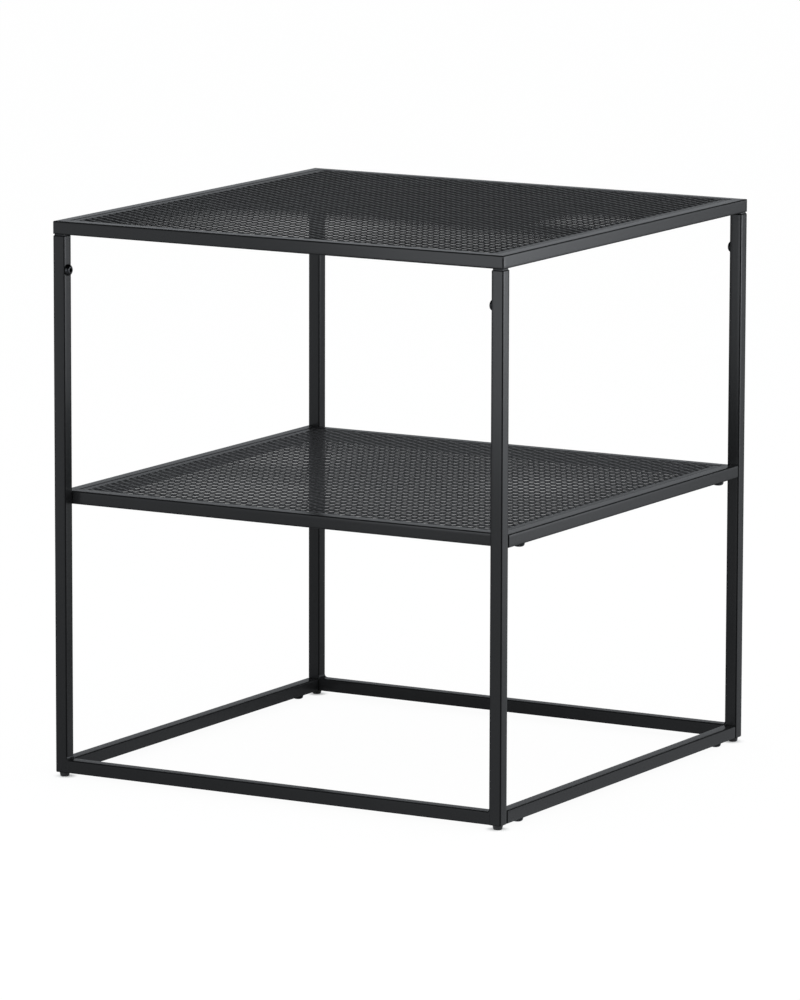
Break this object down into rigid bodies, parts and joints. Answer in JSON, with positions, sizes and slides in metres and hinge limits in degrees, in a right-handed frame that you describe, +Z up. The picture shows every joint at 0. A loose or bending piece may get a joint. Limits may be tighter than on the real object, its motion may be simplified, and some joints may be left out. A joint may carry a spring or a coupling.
{
  "type": "side table",
  "caption": "Square metal side table of thin square tube, with an expanded-mesh top and an expanded-mesh shelf near half height, on small round glides.",
  "frame": {"origin": "on the floor, under the middle of the table", "axes": "+X to the right seen from the front, +Y towards the back, +Z up"},
  "size_m": [0.5, 0.5, 0.55],
  "materials": {
    "frame_coat": "charcoal powder coat, low sheen",
    "mesh_coat": "charcoal powder coat, low sheen",
    "stub_coat": "thin charcoal powder coat",
    "bolt_finish": "black, semi-gloss",
    "glide_plastic": "black, matt"
  },
  "bodies": {
    "root": {"front_left_leg": "frame_coat", "front_right_leg": "frame_coat", "back_left_leg": "frame_coat", "back_right_leg": "frame_coat", "front_base_rail": "frame_coat", "back_base_rail": "frame_coat", "left_base_rail": "frame_coat", "right_base_rail": "frame_coat", "shelf_front_rail": "frame_coat", "shelf_back_rail": "frame_coat", "shelf_left_rail": "frame_coat", "shelf_right_rail": "frame_coat", "top_front_rail": "frame_coat", "top_back_rail": "frame_coat", "top_left_rail": "frame_coat", "top_right_rail": "frame_coat", "shelf_mesh": "mesh_coat", "top_mesh": "mesh_coat", "front_left_top_stub": "stub_coat", "front_right_top_stub": "stub_coat", "back_left_top_stub": "stub_coat", "back_right_top_stub": "stub_coat", "front_left_shelf_stub": "stub_coat", "front_right_shelf_stub": "stub_coat", "back_left_shelf_stub": "stub_coat", "back_right_shelf_stub": "stub_coat", "front_left_base_stub": "stub_coat", "front_right_base_stub": "stub_coat", "back_left_base_stub": "stub_coat", "back_right_base_stub": "stub_coat", "leg_bolts": "bolt_finish", "shelf_bolts": "bolt_finish", "base_bolts": "bolt_finish", "front_left_glide": "glide_plastic", "front_right_glide": "glide_plastic", "back_left_glide": "glide_plastic", "back_right_glide": "glide_plastic"}
  },
  "joints": []
}
